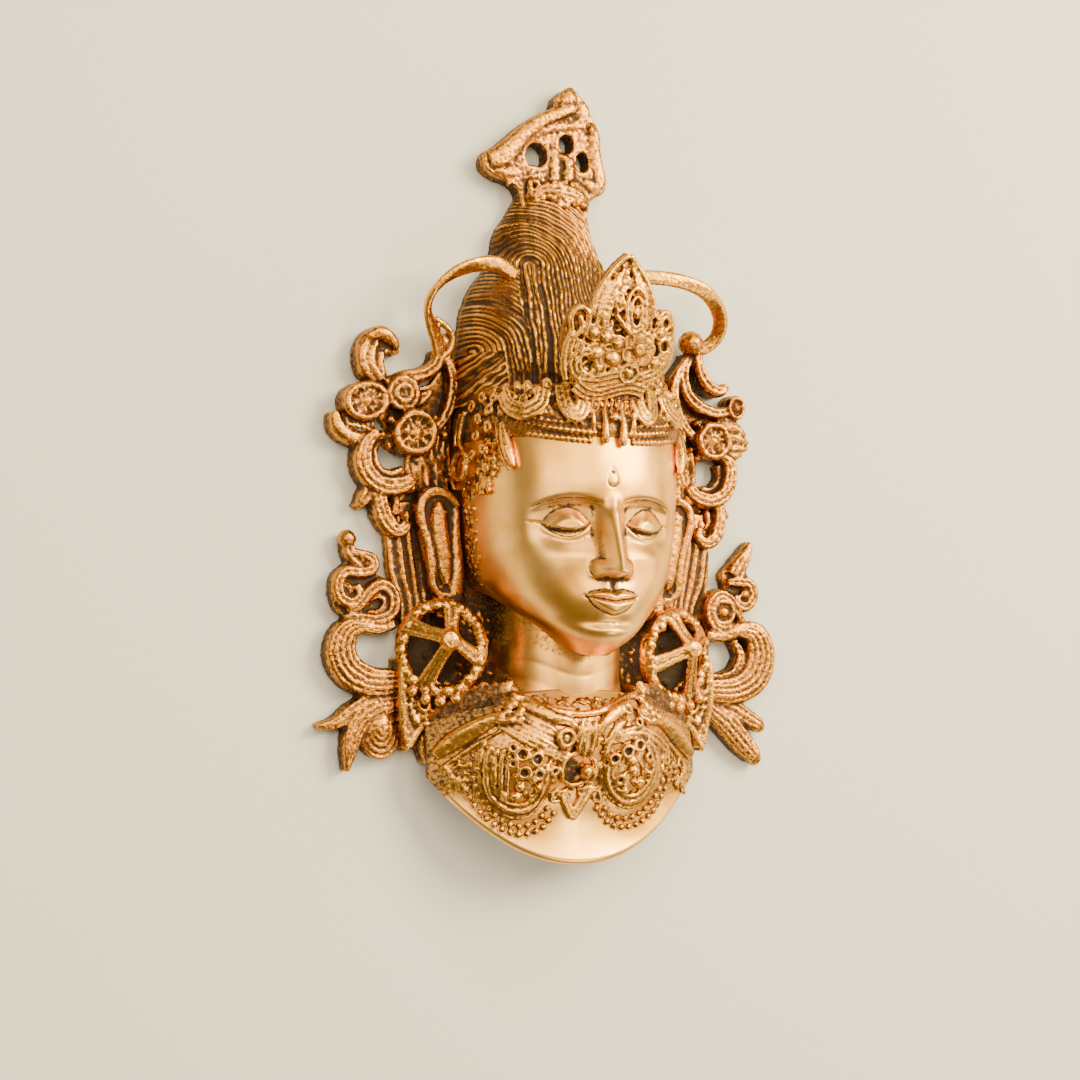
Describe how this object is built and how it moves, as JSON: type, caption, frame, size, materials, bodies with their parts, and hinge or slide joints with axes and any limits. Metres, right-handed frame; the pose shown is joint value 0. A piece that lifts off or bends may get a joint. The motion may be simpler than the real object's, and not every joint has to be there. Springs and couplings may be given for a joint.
{
  "type": "deity mask",
  "caption": "Cast brass wall mask of a calm crowned deity with a tall topknot, wheel earrings, flame scrolls and a necklace; hollow at the back, it lies flat on its back.",
  "frame": {"origin": "middle of the mask's box, on the plane that its back lies on", "axes": "+Z out of the face, +Y towards the top of the head, +X towards the right-hand side as one looks at the face"},
  "size_m": [0.1596, 0.2506, 0.0596],
  "materials": {
    "brass": "polished face and chest, worn golden high points and dark brown patina in the carved recesses"
  },
  "bodies": {
    "root": {"mask": "brass"}
  },
  "joints": []
}
